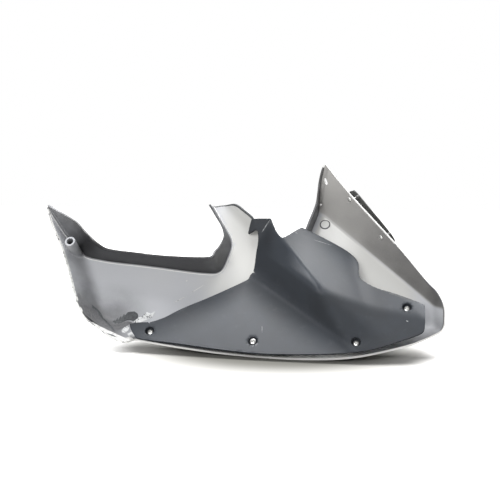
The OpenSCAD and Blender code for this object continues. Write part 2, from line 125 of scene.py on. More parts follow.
def tray(x, v):
    """Inner face of the outer panel."""
    h = soft_max(0, face(x, v, REAR_WALL), CREASE_SOFT)
    h = soft_max(h, belly_line(x) - v, CREASE_SOFT)
    h = soft_max(h, face(x, v, WING_WALL), WING_SOFT)
    h = soft_max(h, face(x, v, NOSE_WALL), WING_SOFT)
    return soft_max(h, face(x, v, ARM_ROLL) * ramp(x, *ARM_FADE), ARM_SOFT)


def liner(x, v):
    """Open face of the inner panel."""
    h = soft_min(face(x, v, HIGH_FACET), face(x, v, RISER), FACET_SOFT)
    h = soft_min(h, face(x, v, FRONT_FACET), FACET_SOFT * 0.75)
    h = soft_min(h, face(x, v, POST_TAB), FACET_SOFT * 0.5)
    h = soft_max(h, face(x, v, LOW_FACET), FACET_SOFT)
    return soft_max(h, tray(x, v) + INNER_CLEAR, 2)


# Lines and outlines in x and v.
def run(stations, steps):
    """Smooth line through a list of stations of any width."""
    out = []
    last = len(stations) - 1
    for i in range(last):
        a, b, c, d = (stations[min(max(k, 0), last)] for k in (i - 1, i, i + 1, i + 2))
        for s in range(steps):
            t = s / steps
            bends = zip(a, b, c, d)
            out.append([0.5 * (2 * q + (r - p) * t + (2 * p - 5 * q + 4 * r - u) * t**2
                               + (3 * q - p - 3 * r + u) * t**3) for p, q, r, u in bends])
    return out + [list(stations[last])]


# Flange stations: foot x and v, shift of the rim in x and v, height of the rim.
NOTCH_RUN = [
    (-50, 67, 0, 0, 40), (-37, 55, 10, 0, 43), (-15, 28, 17, 10, 45), (-4, 18, 17, 10, 44),
    (9, 4, 19, 9, 43), (34, -2, 10, 2, 41), (60, -6, 0, 0, 37), (100, -10, 0, 0, 35),
    (139, -14.5, 0, 0, 36), (185, -20, 0, 0, 43), (210, -21.5, 0, 0, 47), (218, -20, 0, 0, 49),
    (223, -14, -4, 3, 45), (228, 2, -6, 1, 33), (232, 20, -9, 0, 20), (229, 34, -6, 1, 10),
    (218, 52, 0, 0, 5), (205, 73, 0, 0, 4), (192, 94, 0, 0, 4),
]
WING_RUN = [
    (345, 24, 0, 0, 27), (352, 49, 0, 0, 29), (360.5, 77, 0, 0, 29), (362.5, 95, 0, 0, 29),
    (364, 112, 0, 0, 35), (367.5, 124, 0, 0, 46), (371.5, 133.5, 0, 0, 53),
]
ARM_EDGE = [
    (192, 94), (201, 90.5), (214, 92.5), (224, 92), (232, 90), (240, 85.5), (252, 75), (267, 61),
    (302, 24), (331, 11), (345, 24),
]
LEAD_EDGE = [
    (374.5, 133), (412, 88), (479, 14), (522, -37), (541, -58), (548, -77), (549, -98),
    (545, -114), (519, -134), (492, -148), (425, -169), (355, -172), (260, -166), (186, -157),
    (117, -146),
]
REAR_EDGE = [
    (113, -149), (105, -155), (84, -147), (54, -124), (38, -114), (22, -88), (2, -41), (-18, 2),
    (-37, 35), (-50, 67),
]
SKIRT_RUN = [
    (135, -120), (155, -111), (178, -95), (219, -72), (261, -46), (270, -38), (274, -28),
]
INNER_EDGE = [
    (274, -28), (277, -7), (281, 14), (276, 34), (261, 38), (261, 45), (264, 57), (270, 57),
    (296, 38), (302, 34), (309, 15), (317, 5), (324, 5), (342, 31), (350, 32), (379, 22),
    (407, 10), (421, -1), (428, -14), (430, -36), (437, -46), (457, -58), (478, -66), (517, -84),
    (522, -92), (522, -125), (516, -136), (492, -147), (452, -163), (418, -169), (356, -172),
    (292, -171), (233, -164), (172, -155), (126, -149), (117, -143), (107, -127), (110, -122),
    (135, -120),
]
# Screws of the inner panel: x, v, depth of the pocket and turn of the cross.
SCREW_PLACES = [(138, -135, 7, 20), (289, -151, 4.2, 55), (431, -152, 7, 35), (498, -91, 7, 70)]
POCKET_R, SCREW_HOLE_R, SHANK_R, SHANK_LENGTH = 6.5, 2.3, 1.8, 13
HEAD_R, HEAD_HEIGHT, SCREW_BOSS_R = 4.7, 2.7, 4.6
BOSS_R, BOSS_BORE_R, BOSS_BORE_DEPTH = 8, 4.8, 30


def seat(p):
    """Height of the pocket floor under a screw head."""
    return liner(p[0], p[1]) - p[2]


def outward(line, i):
    """Direction out of the panel at a point of a clockwise line."""
    a, b = line[max(i - 1, 0)], line[min(i + 1, len(line) - 1)]
    d = Vector((b[0] - a[0], b[1] - a[1])).normalized()
    return Vector((-d.y, d.x))


def sides(loop):
    """Pairs of neighbours around a closed loop."""
    return zip(loop, loop[1:] + loop[:1])


def inside(p, loop):
    """Whether a flat point lies in a closed loop."""
    hit = False
    for a, b in sides(loop):
        if (a[1] > p[1]) != (b[1] > p[1]):
            hit ^= p[0] < (b[0] - a[0]) * (p[1] - a[1]) / (b[1] - a[1]) + a[0]
    return hit


def gap_to(p, loop):
    """Distance of a flat point to a closed loop."""
    best = math.inf
    for a, b in sides(loop):
        dx, dy = b[0] - a[0], b[1] - a[1]
        t = clamped(((p[0] - a[0]) * dx + (p[1] - a[1]) * dy) / (dx * dx + dy * dy + 1e-9))
        best = min(best, math.hypot(p[0] - a[0] - t * dx, p[1] - a[1] - t * dy))
    return best


def divided(line, reach):
    """The line with points at most this far apart."""
    out = []
    for a, b in zip(line, line[1:]):
        n = max(1, math.ceil(math.dist(a[:2], b[:2]) / reach))
        out += [[p + (q - p) * k / n for p, q in zip(a, b)] for k in range(n)]
    return out + [list(line[-1])]


def ring(x, v, r, n=40):
    """Flat circle, clockwise."""
    return [(x + r * math.sin(2 * math.pi * k / n), v + r * math.cos(2 * math.pi * k / n))
            for k in range(n)]


# Finishes of a moulding, by number. Its points also carry a value: on the outer panel the share of
# silver overspray, with painted shade and highlights in places; on the inner one painted sheen and
# shade, with some dust.
FRONT, BACK, RIM = 0, 1, 2


def filled(outline, holes, spacing, marks=(), fine=0.0):
    """Flat points and triangles over an outline with holes, with edges along the marks."""
    borders = [outline, *holes]
    left, low = min(p[0] for p in outline), min(p[1] for p in outline)
    top = max(p[1] for p in outline)
    row_step = spacing * math.sqrt(3) / 2
    points, edges = [], []
    for loop in [*borders, *marks]:
        start = len(points)
        points += [Vector(p[:2]) for p in loop]
        edges += [(start + k, start + (k + 1) % len(loop)) for k in range(len(loop))]
    for mark in marks if fine else ():
        across, up = ([q[axis] for q in mark] for axis in (0, 1))
        for i in range(int((max(across) - min(across)) / fine)):
            for j in range(int((max(up) - min(up)) / fine)):
                p = Vector((min(across) + (i + 0.5 + j % 2 / 2) * fine, min(up) + (j + 0.5) * fine))
                if inside(p, mark) and gap_to(p, mark) > fine * 0.4 and gap_to(p, outline) > 1:
                    points.append(p)
    for row in range(int((top - low) / row_step) + 1):
        v = low + (row + 0.4) * row_step
        shift = left + row % 2 * spacing / 2
        crossings = sorted(a[0] + (b[0] - a[0]) * (v - a[1]) / (b[1] - a[1])
                           for a, b in sides(outline) if (a[1] > v) != (b[1] > v))
        for x0, x1 in zip(crossings[::2], crossings[1::2]):
            first, last = math.ceil((x0 - shift) / spacing), math.floor((x1 - shift) / spacing)
            for x in (shift + k * spacing for k in range(first, last + 1)):
                p = Vector((x, v))
                if all(gap_to(p, loop) > spacing * 0.6 for loop in borders):
                    if not any(inside(p, loop) for loop in [*holes, *marks]):
                        points.append(p)
    flat, _, faces, *_ = delaunay_2d_cdt(points, edges, [], 1, 1e-4)
    kept = []
    for f in faces:
        c = sum((flat[i] for i in f), Vector((0, 0))) / len(f)
        if inside(c, outline) and not any(inside(c, hole) for hole in holes):
            kept.append(f)
    return flat, kept


def laid(bm, verts, flat, f):
    """Face between raised points, turned so that it looks out of the hollow."""
    a, b, c = (flat[i] for i in f[:3])
    turned = (b - a).cross(c - a) < 0
    return bm.faces.new([verts[i] for i in (reversed(f) if turned else f)])


def lay_skin(bm, outline, holes, spacing, height, marks=(), fine=0.0):
    """Moulded skin over an outline, seen from inside the hollow; marks have their own finish."""
    flat, faces = filled(outline, holes, spacing, [mark for _, mark in marks], fine)
    verts = [bm.verts.new(place(p.x, p.y, height(p.x, p.y))) for p in flat]
    for f in faces:
        added = laid(bm, verts, flat, f)
        middle = sum((flat[i] for i in f[:3]), Vector((0, 0))) / 3
        for index, mark in marks:
            if inside(middle, mark):
                added.material_index = index


def lay_strip(bm, rows, closed=False, spray_dust_and_light=lambda x, k: 0):
    """Faces between rows of points, each row going from the skin outwards."""
    layer = bm.verts.layers.float["spray_dust_and_light"]
    grid = [[bm.verts.new(place(*p)) for p in row] for row in rows]
    for row, points in zip(grid, rows):
        for k, vert in enumerate(row):
            vert[layer] = spray_dust_and_light(points[k][0], k)
    for a, b in zip(grid, grid[1:] + (grid[:1] if closed else [])):
        for k in range(len(a) - 1):
            bm.faces.new((a[k], b[k], b[k + 1], a[k + 1]))


# Most that a mitre may lengthen the wall at a sharp corner.
MITRE_LIMIT = 1.3


def thicken(bm, wall, bevel, rim_finish=lambda vert: RIM):
    """Gives the skin its back face and a rim with eased edges."""
    bmesh.ops.remove_doubles(bm, verts=bm.verts, dist=0.02 * MM)
    bm.normal_update()
    front = list(bm.faces)
    open_edges = [e for e in bm.edges if len(e.link_faces) == 1]
    back = {v: bm.verts.new(v.co - v.normal * wall * MM * min(v.calc_shell_factor(), MITRE_LIMIT))
            for v in list(bm.verts)}
    spray_dust_and_light = bm.verts.layers.float["spray_dust_and_light"]
    for f in front:
        g = bm.faces.new([back[v] for v in reversed(f.verts)])
        g.material_index = BACK
    for v, b in back.items():
        b[spray_dust_and_light] = v[spray_dust_and_light]
    rim_edges = []
    for e in open_edges:
        loop = next(c for c in e.link_faces[0].loops if c.edge == e)
        a, b = loop.vert, loop.link_loop_next.vert
        side = bm.faces.new((b, a, back[a], back[b]))
        side.material_index = rim_finish(a)
        rim_edges += [e, bm.edges.get((back[a], back[b]))]
    bmesh.ops.bevel(bm, geom=rim_edges, offset=bevel * MM, segments=2, profile=0.5,
                    affect="EDGES", clamp_overlap=True, material=-1)


def revolved(bm, centre, profile, turn_frame, n=40, spray_dust_and_light=0.0):
    """Closed solid of revolution in a frame; a height of the profile may change around it."""
    layer = bm.verts.layers.float.get("spray_dust_and_light")
    rows = []
    for k in range(n):
        a = 2 * math.pi * k / n
        row = []
        for r, h in profile:
            height = h(a) if callable(h) else h
            spot = Vector((centre[0] + r * math.cos(a), centre[1] + r * math.sin(a), height))
            row.append(bm.verts.new(turn_frame @ spot))
        rows.append(row)
    for a, b in zip(rows, rows[1:] + rows[:1]):
        for i in range(len(profile) - 1):
            bm.faces.new((a[i], b[i], b[i + 1], a[i + 1]))
    bm.faces.new([row[0] for row in reversed(rows)])
    bm.faces.new([row[-1] for row in rows])
    for row in rows if layer else ():
        for k, vert in enumerate(row):
            vert[layer] = spray_dust_and_light[k] if isinstance(spray_dust_and_light, list) else spray_dust_and_light


PANEL_FRAME = Matrix([
    [*(axis[i] * MM for axis in (X_AXIS, V_AXIS, W_AXIS)), -W_AXIS[i] * BOSS_HEIGHT * MM]
    for i in range(3)
] + [[0, 0, 0, 1]])
TO_PANEL = PANEL_FRAME.inverted()
# Angle from which on an edge shows sharp.
SHARP, SCREW_SHARP = math.radians(42), math.radians(35)


def in_scene(name, data):
    """Object of the scene that shows the data."""
    obj = bpy.data.objects.new(name, data)
    bpy.context.scene.collection.objects.link(obj)
    return obj


def new_mesh(name, bm):
    """Mesh from a finished bmesh."""
    bm.normal_update()
    mesh = bpy.data.meshes.new(name)
    bm.to_mesh(mesh)
    bm.free()
    return mesh


def new_object(name, bm, materials):
    """Smooth piece of the scene from a finished bmesh."""
    for f in bm.faces:
        f.smooth = True
    mesh = new_mesh(name, bm)
    mesh.set_sharp_from_angle(angle=SHARP)
    for material in materials:
        mesh.materials.append(material)
    return in_scene(name, mesh)


def applied(obj, modifier):
    """Gives a piece the plain mesh that its modifier makes of it."""
    shown = obj.evaluated_get(bpy.context.evaluated_depsgraph_get())
    obj.data = bpy.data.meshes.new_from_object(shown)
    obj.modifiers.remove(modifier)


def finish_piece(obj, nodes):
    """Ties a piece to the panel's body, in place of its CAD nodes."""
    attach(obj, "root")
    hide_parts(*nodes)
    return obj


# Outer moulding.
FLANGE_WALL, LIP_INSET = 2.4, 0.3
NOTCH_FILLET, WING_FILLET = 2.2, 1.2
# Bead along the notch flange's foot: its size, then its section in shares of width and height.
BEAD_HEIGHT, BEAD_WIDTH = 0.8, 0.9
BEAD_SECTION = ((2.0, 0), (1.5, 0.75), (1, 1), (0.5, 0.75), (0, 0))
# Ends of the notch flange and the way the panel's edge goes on there, so that the rim is mitred.
NOTCH_MITRES = [(0, (13, -32)), (-1, (9, -3.5))]
MITRE_STATIONS = 5


def flange_rows(stations, fillet, bead, mitres=()):
    """Rows of points from the bead at the foot to the rim, for each station of a flanged run."""
    rows = []
    for i, (x, v, dx, dv, rim) in enumerate(stations):
        n = outward(stations, i)
        for end, along in mitres:
            share = 1 - min(abs(i - end % len(stations)) / MITRE_STATIONS, 1)
            bent = n.lerp(-Vector(along).normalized(), share).normalized()
            n = bent / bent.dot(n)
        foot = Vector((x, v)) - n * (LIP_INSET + FLANGE_WALL)
        top = Vector((foot.x + dx, foot.y + dv, rim))
        base = Vector((foot.x, foot.y, tray(foot.x, foot.y)))
        size = min(fillet, max((rim - base.z) * 0.45, 0.4))
        row = []
        for out, lift in BEAD_SECTION if bead else ((0, 0),):
            q = foot - n * (size + out * BEAD_WIDTH)
            row.append(Vector((q.x, q.y, tray(q.x, q.y) + lift * bead)))
        begin, end = row[-1], base + (top - base).normalized() * size
        for k in range(1, 5):
            t = k / 4
            row.append(begin * (1 - t) ** 2 + base * 2 * t * (1 - t) + end * t * t)
        row += [end.lerp(top, k / 5) for k in range(1, 6)]
        rows.append(row)
    return rows


# Small nicks of the rear edge: x, v, half length and depth.
NICKS = [(-33, 22, 5, 2.2), (-14, -22, 6, 2.4), (20, -84, 3, 1.2), (98, -152, 4, 1.6)]
# Stretch along the panel where the broken edge is rough.
ROUGH_FROM, ROUGH_TO = 30, 112


def worn_edge(line):
    """The rear edge with its nicks and the roughness of the broken corner."""
    out = []
    for i, (x, v) in enumerate(line):
        n = outward(line, i)
        cut = sum(depth * max(0, 1 - math.dist((x, v), (a, b)) / half)
                  for a, b, half, depth in NICKS)
        if ROUGH_FROM < x < ROUGH_TO:
            cut += 1.3 * max(0, noise.noise(Vector((x, v, 0)) * 0.16))
            cut += 0.3 * noise.noise(Vector((x, v, 3)))
        out.append([x - n.x * cut, v - n.y * cut])
    return out


def on_wing_wall(x, v, points):
    """Flat points of an outline drawn square to the wing wall, with y up the wall."""
    side = Vector((0, 1, 0)).cross(WING_NORMAL).normalized()
    up = WING_NORMAL.cross(side)
    return [(x + side.x * a + up.x * b, v + side.y * a + up.y * b) for a, b in points]


# Slot, pin hole, trim screws and pad: their places in x and v, then their sizes.
SLOT, SLOT_WIDTH, SLOT_REACH = (375, 114), 4.8, 5.4
PIN_HOLE, PIN_HOLE_R = (367, 90), 1.6
TRIM_PINS, TRIM_HOLE_R = [(412, 82), (459, 26)], 1.8
PAD, PAD_R, PAD_RISE = (374.5, 60), 6.8, 0.9


def outer_holes():
    """Slot, pin hole and the two trim screws' holes, as flat outlines."""
    n = 24
    stadium = []
    for k in range(n):
        a = 2 * math.pi * (k + 0.5) / n
        shift = SLOT_REACH / 2 if math.cos(a) > 0 else -SLOT_REACH / 2
        stadium.append((SLOT_WIDTH / 2 * math.sin(a), SLOT_WIDTH / 2 * math.cos(a) + shift))
    pin_hole = on_wing_wall(*PIN_HOLE, ring(0, 0, PIN_HOLE_R, 20))
    trim_holes = [on_wing_wall(*p, ring(0, 0, TRIM_HOLE_R, 20)) for p in TRIM_PINS]
    return [on_wing_wall(*SLOT, stadium), pin_hole, *trim_holes]


# Damage at the lower rear corner: more finishes by number, and outlines in x and v.
TORN, SCRAPED, WORN, RESIDUE, GLUE = 3, 4, 5, 6, 7
TORN_PATCH = [
    (71, -110), (74, -104.5), (74.5, -108), (77.5, -101), (78.5, -105), (82, -97.5), (83, -101),
    (86, -94), (87.5, -97), (91, -91.5), (96, -90.5), (101, -90), (106, -93), (108, -97), (107.5, -101),
    (102, -106), (97, -104.5), (92, -105), (86, -109.5), (81, -113), (79, -110.5), (76, -114),
    (75, -110.5),
]
WORN_FACE = [(76, -115), (81, -114), (92, -106.5), (101, -107.5), (93, -118), (86, -129), (79, -124)]
RESIDUE_LUMP = [(103, -106), (109, -99), (114, -97), (120, -90.5), (126, -93), (132, -89), (129, -99),
                (119, -104), (108, -111), (104, -113)]
GLUE_BLOB = [(91, -127), (91.5, -120), (95, -116.5), (99, -119), (100, -127), (97, -133), (93, -132)]
GLUE_SMEAR = [(102, -135), (107, -127), (111, -133), (114, -140), (108, -143)]
BROKEN_CORNER = [(22, -76), (28, -84), (36, -95), (42, -98), (48, -95), (52, -102), (58, -108),
                 (68, -118), (80, -130), (78, -133), (57, -122), (38, -111), (27, -97), (20, -84)]
CRACK = [(39, -87), (46, -91), (52, -96), (57, -104), (66, -112), (77, -123), (83, -131), (79, -129.5),
         (67, -117), (57, -107), (51, -101), (47, -94.5), (41, -93)]
SCRAPED_RIM = [(48, -118), (57, -122.5), (79, -133.5), (103, -146), (111, -142), (117, -150),
               (104, -163), (76, -152), (46, -130)]
RIM_SLOT = [(72, -138), (84, -141), (93, -147), (84, -144.5)]


def streak(x0, v0, x1, v1, width):
    """Outline of a thin scratch between two points."""
    side = Vector((v0 - v1, x1 - x0)).normalized() * width / 2
    a, b = Vector((x0, v0)), Vector((x1, v1))
    return [tuple(q) for q in (a, a.lerp(b, 0.3) + side, a.lerp(b, 0.75) + side * 0.8, b,
                               a.lerp(b, 0.6) - side, a.lerp(b, 0.2) - side * 0.7)]


def edge_band(line, first, last, width):
    """Outline of a narrow band inside an edge, for the part between two stations."""
    part = run(line, 3)[first * 3:last * 3 + 1]
    sides_out = [outward(part, i) for i in range(len(part))]
    inner = [(p[0] - n.x * width, p[1] - n.y * width) for p, n in zip(part, sides_out)]
    outer = [(p[0] + n.x * 3, p[1] + n.y * 3) for p, n in zip(part, sides_out)]
    return inner + outer[::-1]


# Marks of the outer panel with their finish: bands along the edges, the pale one by the leading edge
# partly a painted highlight, the broken corner, then scratches.
OUTER_MARKS = [
    (TORN, edge_band(ARM_EDGE, 1, 7, 1.8)), (SCRAPED, edge_band(REAR_EDGE, 5, 9, 1.5)),
    (RIM, edge_band(LEAD_EDGE, 1, 2, 0.8)), (WORN, edge_band(LEAD_EDGE, 3, 7, 1.4)),
    (WORN, BROKEN_CORNER), (TORN, CRACK), (SCRAPED, SCRAPED_RIM), (TORN, RIM_SLOT), (TORN, TORN_PATCH),
    (WORN, WORN_FACE), (RESIDUE, RESIDUE_LUMP), (GLUE, GLUE_BLOB), (GLUE, GLUE_SMEAR),
    (SCRAPED, streak(157, -75, 177, -63, 1.2)), (SCRAPED, streak(182, -58, 202, -43, 1.4)),
    (SCRAPED, streak(172, -38.5, 175, -37.5, 2)), (SCRAPED, streak(20, -82, 25, -92, 2.2)),
    (SCRAPED, streak(29, -100, 34, -108, 2.4)),
]
# Lumps and dents of the damage: outline, height and roughness in mm.
RELIEF = [(TORN_PATCH, 0.7, 0.2), (RESIDUE_LUMP, 0.9, 1.3), (GLUE_BLOB, 1.4, 0.6),
          (GLUE_SMEAR, 0.9, 0.8), (CRACK, -0.7, 0.4)]
# Distance from its outline over which a lump reaches its height.
RELIEF_EDGE = 1.2


def damaged_tray(x, v):
    """The tray with its patch, residue and glue standing on it and the crack let into it."""
    h, p = tray(x, v), (x, v)
    for lump, rise, rough in RELIEF:
        if inside(p, lump):
            rise += rough * noise.noise(Vector((x, v, 7)) * 0.35)
            h += rise * ramp(gap_to(p, lump), 0, RELIEF_EDGE)
    return h


def overspray_and_shade_at(x, v):
    """How much silver overspray has reached a place of the outer panel's inner side, with painted shade
    beside the wing flange.
    """
    # Most of it lies towards the nose and at the wing's foot; the value is lower at the nose and towards
    # the belly near the front, which paints those places darker.
    bright = 1 + 0.5 * ramp(x, 170, 260)
    bright += 0.5 * ramp(x, 335, 345) * ramp(x, 445, 390)
    bright *= 1 - 0.5 * ramp(x, 490, 540)
    bright *= 1 - 0.65 * ramp(x, 420, 480) * ramp(v, -75, -125)
    # Beside the wing flange it falls as painted shade; it thins out on the rear wall and in the stain at
    # the lower corner.
    if x > 340 and v > 20:
        bright *= 0.4 + 0.6 * ramp(x - 0.28 * (v - 24), 350, 363)
    rear = 1 - 0.37 * ramp(face(x, v, REAR_WALL), -8, 8)
    stain = ramp(v, -35, -110) * ramp(x, 150, 80)
    return bright * rear * (1 - 0.75 * stain)


# Overspray on the flanges, row by row from the foot to the rim; the values above 1.5 on top of the notch
# flange's bead paint a highlight.
NOTCH_SPRAY_AND_HIGHLIGHT = [1, 1.7, 2.1, 1.2, 0.7, 0.45, 0.22, 0.1, 0.06, *[0.04] * 5]
WING_FLANGE_SPRAY = [1.0, 0.8, 0.45, 0.33, 0.28]


def notch_spray_and_highlight(x, k):
    """Overspray on the notch flange, which is lighter at the tail and at its right end, with a painted
    highlight on its bead.
    """
    return max(NOTCH_SPRAY_AND_HIGHLIGHT[k], 0.42 * ramp(x, 30, -30), 0.2 * ramp(x, 195, 220))


def wing_spray(x, k):
    """Overspray on the wing flange."""
    return WING_FLANGE_SPRAY[min(k, 4)]


def outer_rim(vert, sprayed):
    """Finish of the outer panel's rim: bare on the arm and the flanges, painted elsewhere in a pale
    finish that is partly a painted highlight.
    """
    p = TO_PANEL @ vert.co
    if p.x < 40 and p.y > 0 and sprayed < 0.5:
        return FRONT
    if 190 < p.x < 350 and p.y > 15:
        return TORN
    return RIM if p.z < tray(p.x, p.y) + 1.5 else FRONT


def over_tray(centre, r, lift):
    """Height of a round foot over the tray, as it changes around the foot."""
    return lambda a: tray(centre[0] + r * math.cos(a), centre[1] + r * math.sin(a)) + lift


def screw_boss(bm, p):
    """Boss that a screw of the inner panel is tapped into."""
    top = seat(p) - INNER_WALL
    revolved(bm, p, [(7, over_tray(p, 7, -0.6)), (5.4, over_tray(p, SCREW_BOSS_R, 0.5)),
                     (SCREW_BOSS_R, over_tray(p, SCREW_BOSS_R, 3)), (SCREW_BOSS_R, top - 0.6),
                     (SCREW_BOSS_R - 0.5, top), (SHANK_R, top), (SHANK_R, top - 3.8)],
             PANEL_FRAME, 32, 0.5)


def tail_boss(bm):
    """Tube at the tail with its blind bore."""
    foot = (0, 0)
    # The lower values on the tube's side are thinner overspray and painted shade, and the bore is
    # painted darker with depth as shade.
    revolved(bm, foot, [(12, over_tray(foot, 12, -0.6)), (9.2, over_tray(foot, BOSS_R, 0.8)),
                        (BOSS_R, over_tray(foot, BOSS_R, 4)), (BOSS_R, BOSS_HEIGHT - 1),
                        (BOSS_R - 0.8, BOSS_HEIGHT), (BOSS_BORE_R + 0.5, BOSS_HEIGHT),
                        (BOSS_BORE_R, BOSS_HEIGHT - 0.7),
                        (BOSS_BORE_R, BOSS_HEIGHT - BOSS_BORE_DEPTH)],
             PANEL_FRAME, 40, [0.9, 0.6, 0.45, 0.45, 1, 0.9, 0.4, 0.1])


def raised_pad(bm):
    """Round pad beside the wing's foot, with painted shade as a dark ring around it and a painted
    highlight on its paler top.
    """
    revolved(bm, PAD, [(8.3, over_tray(PAD, 8, -0.4)), (7.8, over_tray(PAD, 8, 0.15)),
                       (PAD_R + 0.1, over_tray(PAD, 8, 0.2)),
                       (PAD_R - 0.3, over_tray(PAD, 8, PAD_RISE - 0.2)),
                       (PAD_R - 0.9, over_tray(PAD, 8, PAD_RISE))],
             PANEL_FRAME, 40, [1.4, 0.0, 0.0, 0.6, 1.8])


# Greatest distance between points of the outer panel: on its face, in its marks and on its edges.
OUTER_SPACING, MARK_SPACING, EDGE_REACH, WORN_EDGE_REACH = 4.2, 1.8, 3.5, 2.5


def outer_moulding(materials):
    """The outer panel with its flanges, bosses and pad."""
    notch = flange_rows(run(NOTCH_RUN, 4), NOTCH_FILLET, BEAD_HEIGHT, NOTCH_MITRES)
    wing = flange_rows(run(WING_RUN, 5), WING_FILLET, 0)
    outline = [list(r[0][:2]) for r in notch]
    outline += divided(run(ARM_EDGE, 4), EDGE_REACH)[1:-1]
    outline += [list(r[0][:2]) for r in wing]
    outline += divided(run(LEAD_EDGE, 5), EDGE_REACH)
    rear = worn_edge(divided(run(REAR_EDGE, 5), WORN_EDGE_REACH))
    outline += [p for p in rear if p[1] < outline[0][1] - 1]
    bm = bmesh.new()
    spray_dust_and_light = bm.verts.layers.float.new("spray_dust_and_light")
    lay_skin(bm, outline, outer_holes(), OUTER_SPACING, damaged_tray, OUTER_MARKS, MARK_SPACING)
    for vert in bm.verts:
        vert[spray_dust_and_light] = overspray_and_shade_at(*(TO_PANEL @ vert.co).xy)
    lay_strip(bm, notch, spray_dust_and_light=notch_spray_and_highlight)
    lay_strip(bm, wing, spray_dust_and_light=wing_spray)
    thicken(bm, OUTER_WALL, 0.35, lambda vert: outer_rim(vert, vert[spray_dust_and_light]))
    for p in SCREW_PLACES:
        screw_boss(bm, p)
    tail_boss(bm)
    raised_pad(bm)
    obj = new_object("outer_moulding", bm, materials)
    return finish_piece(obj, ["outer_panel"])


# Inner moulding.
SKIRT_SPREAD, SKIRT_GAP, SKIRT_INSET, SKIRT_FILLET = 6, 0.6, 0.3, 2.2


def skirt_rows(line):
    """Rows from the eased top edge to the foot of the skirt."""
    rows = []
    for i, (x, v) in enumerate(line):
        n = outward(line, i)
        edge = Vector((x, v)) - n * SKIRT_INSET
        begin = edge - n * SKIRT_FILLET
        foot = edge + n * SKIRT_SPREAD
        begin = Vector((begin.x, begin.y, liner(*begin)))
        top = Vector((edge.x, edge.y, liner(*edge)))
        foot = Vector((foot.x, foot.y, tray(*foot) + SKIRT_GAP))
        end = top + (foot - top).normalized() * SKIRT_FILLET
        row = [begin * (1 - t) ** 2 + top * 2 * t * (1 - t) + end * t * t
               for t in (0, 0.25, 0.5, 0.75, 1)]
        rows.append(row + [end.lerp(foot, k / 4) for k in range(1, 5)])
    return rows


def pocket_rows(p, n=40):
    """Rows from the liner's face down a screw pocket to the screw hole."""
    x, v, depth = p[:3]
    floor = seat(p)
    steps = [(POCKET_R + 0.7, 0), (POCKET_R + 0.25, 0.2), (POCKET_R, 0.8), (POCKET_R, 0.5),
             (POCKET_R, 0.25), (POCKET_R - 0.15, 0.08), (POCKET_R - 0.6, 0), (4, 0), (SCREW_HOLE_R, 0)]
    rows = []
    for a, b in reversed(ring(0, 0, 1, n)):
        row = []
        for k, (r, share) in enumerate(steps):
            px, pv = x + a * r, v + b * r
            if k < 3:
                row.append(Vector((px, pv, liner(px, pv) - share)))
            else:
                high = liner(x + a * POCKET_R, v + b * POCKET_R)
                row.append(Vector((px, pv, floor + (high - floor) * share)))
        rows.append(row)
    return rows


def painted_light_and_dust_at(x, v):
    """Painted light and shade of the inner panel, with some dust: 0 on its fold, painted dark, 1 on its
    pale facets, their paleness painted sheen and dust, 2 for a paler painted sheen.
    """
    high = face(x, v, HIGH_FACET)
    # The fold painted dark as shade lies over the skirt's line and under the ridge, out to the post.
    over_skirt = v + 40 + 0.81 * (x - 276)
    above = ramp(over_skirt, -5, 5)
    ridge = max(-13 - 0.93 * (x - 304), -84 - 0.2 * (x - 400))
    dark = above * max(ramp(ridge - v, -8, 8), ramp(x, 361, 291))
    # A paler painted sheen lies on the steep side of the ridge and in the neck beside the wing's foot.
    steep = clamped((high - face(x, v, RISER)) / FACET_SOFT + 0.7) * ramp(x, 285, 295)
    neck = ramp(tray(x, v) + INNER_CLEAR - high, -4.8, 1.2) * ramp(x, 360, 380)
    # Near the skirt's line on its lower side and towards the front the value falls, which paints those
    # parts darker as shade.
    below = min(-over_skirt / 1.29, (-120 + 0.66 * (x - 135) - v) / 1.2)
    low = 1 - (1 - above) * (1 - ramp(below, -14, 56))
    right = 1 - 0.45 * above * ramp(x, 395, 455)
    return (1 - dark) * low * right * (1 + max(steep, neck) * above)


def skirt_sheen_and_shade(x, k):
    """Painted sheen on the skirt, row by row from its eased edge down: half at the edge, falling to none
    further down, so the skirt is painted darker below as shade.
    """
    return max(0.5 - 0.2 * k, 0)


# Scuffs of the inner panel, the one from (287, 22) to (300, 33) a painted highlight on the post's
# rounded top corner, and a dark rough band along its lip beside the nose screw.
LINER_SCUFF_AND_HIGHLIGHT, LINER_ROUGH_BAND = 3, 4
ROUGH_LIP = [(474, -64.5), (480, -67), (505, -78), (510, -81)]
LINER_MARKS = [
    (LINER_SCUFF_AND_HIGHLIGHT, streak(362, 14, 390, 11.6, 1.2)), (LINER_SCUFF_AND_HIGHLIGHT, streak(331.8, 23, 340.7, 17.5, 1.2)),
    (LINER_SCUFF_AND_HIGHLIGHT, streak(299, -125, 300.4, -137, 1.2)), (LINER_SCUFF_AND_HIGHLIGHT, streak(497, -114, 500, -116, 1.6)),
    (LINER_SCUFF_AND_HIGHLIGHT, streak(287, 22, 300, 33, 2.4)), (LINER_ROUGH_BAND, edge_band(ROUGH_LIP, 0, 3, 3)),
]


def inner_moulding(materials):
    """The inner panel with its skirt and screw pockets."""
    skirt = skirt_rows(run(SKIRT_RUN, 4))
    pockets = [pocket_rows(p) for p in SCREW_PLACES]
    outline = [list(r[0][:2]) for r in skirt]
    outline += divided(run(INNER_EDGE, 3), 3)[1:-1]
    holes = [[tuple(r[0][:2]) for r in rows] for rows in pockets]
    bm = bmesh.new()
    spray_dust_and_light = bm.verts.layers.float.new("spray_dust_and_light")
    lay_skin(bm, outline, holes, 3.6, liner, LINER_MARKS)
    for vert in bm.verts:
        vert[spray_dust_and_light] = painted_light_and_dust_at(*(TO_PANEL @ vert.co).xy)
    lay_strip(bm, skirt, spray_dust_and_light=skirt_sheen_and_shade)
    for rows in pockets:
        lay_strip(bm, rows, closed=True)
    thicken(bm, INNER_WALL, 0.4)
    obj = new_object("inner_moulding", bm, materials)
    return finish_piece(obj, ["inner_panel"])


